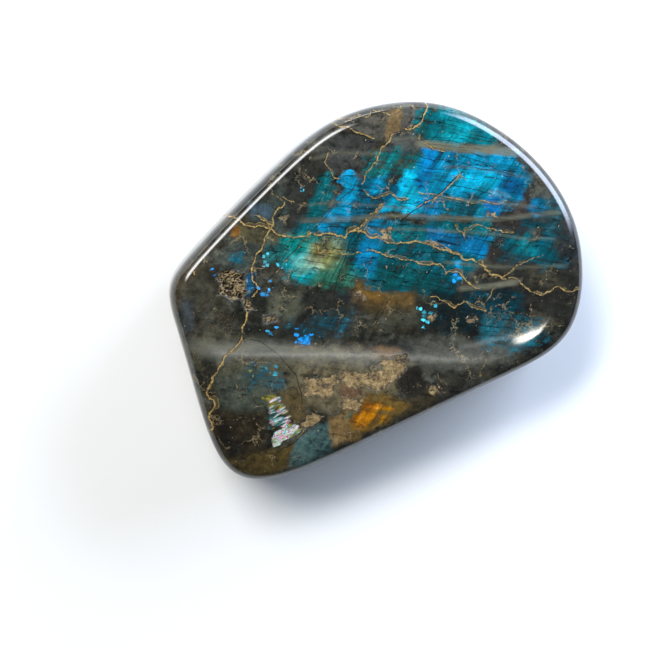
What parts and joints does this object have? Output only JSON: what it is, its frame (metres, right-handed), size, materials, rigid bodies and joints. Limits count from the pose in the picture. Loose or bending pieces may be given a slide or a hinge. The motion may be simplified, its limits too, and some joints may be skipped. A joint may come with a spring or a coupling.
{
  "type": "polished labradorite freeform",
  "caption": "Palm-sized polished slab of labradorite with a flat back, a gently domed front and rounded edges, for display or to hold.",
  "frame": {"origin": "centre of the bounding box's underside, on the surface that the stone lies on", "axes": "+Z out of the polished front, +X along the straight sawn edge, which is the longest way across, +Y away from that edge"},
  "size_m": [0.1, 0.072, 0.023],
  "materials": {
    "polished_labradorite": "polished, dark grey-green with a blue and gold flash and tan veins"
  },
  "bodies": {
    "root": {"labradorite": "polished_labradorite"}
  },
  "joints": []
}
